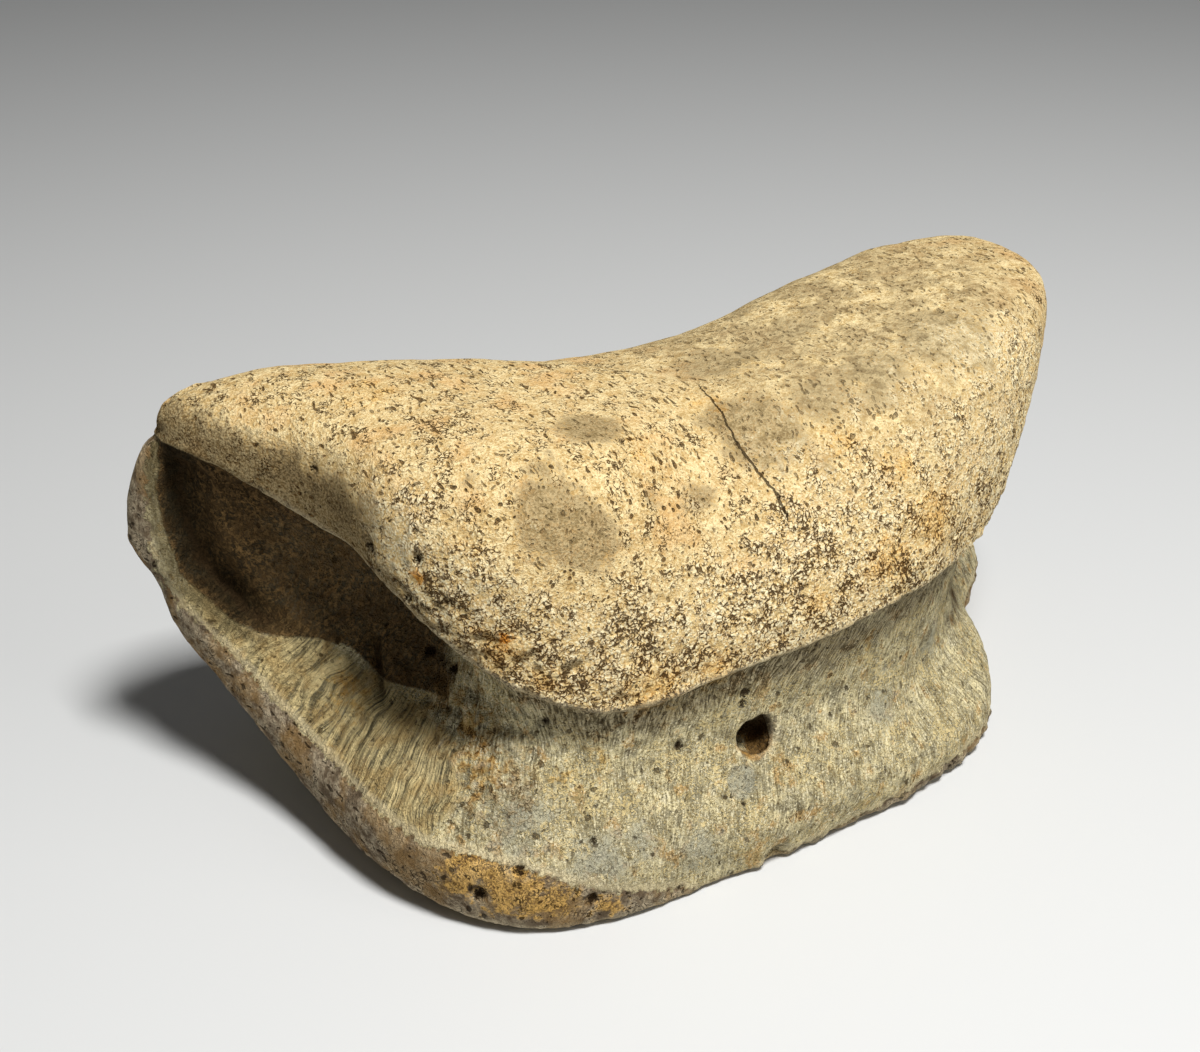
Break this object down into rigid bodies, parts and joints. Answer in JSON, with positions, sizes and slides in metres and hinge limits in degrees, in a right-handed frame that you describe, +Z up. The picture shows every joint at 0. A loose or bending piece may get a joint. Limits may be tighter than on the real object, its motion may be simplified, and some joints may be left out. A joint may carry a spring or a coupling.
{
  "type": "fossil toe bone",
  "caption": "Short, wide fossil toe bone standing on its joint end, with a saddle-shaped roller on top and deep ligament pits at the sides",
  "frame": {"origin": "middle of the bounding box in plan, on the floor that the bone stands on", "axes": "+X along the roller of the distal joint, towards the higher condyle; -Y the near face with the nutrient foramen; +Z up, towards the distal joint"},
  "size_m": [0.1364, 0.0702, 0.0606],
  "materials": {
    "petrified_bone": "matt, pitted, warm tan with grey and ochre stains"
  },
  "bodies": {
    "root": {"toe_bone": "petrified_bone"}
  },
  "joints": []
}
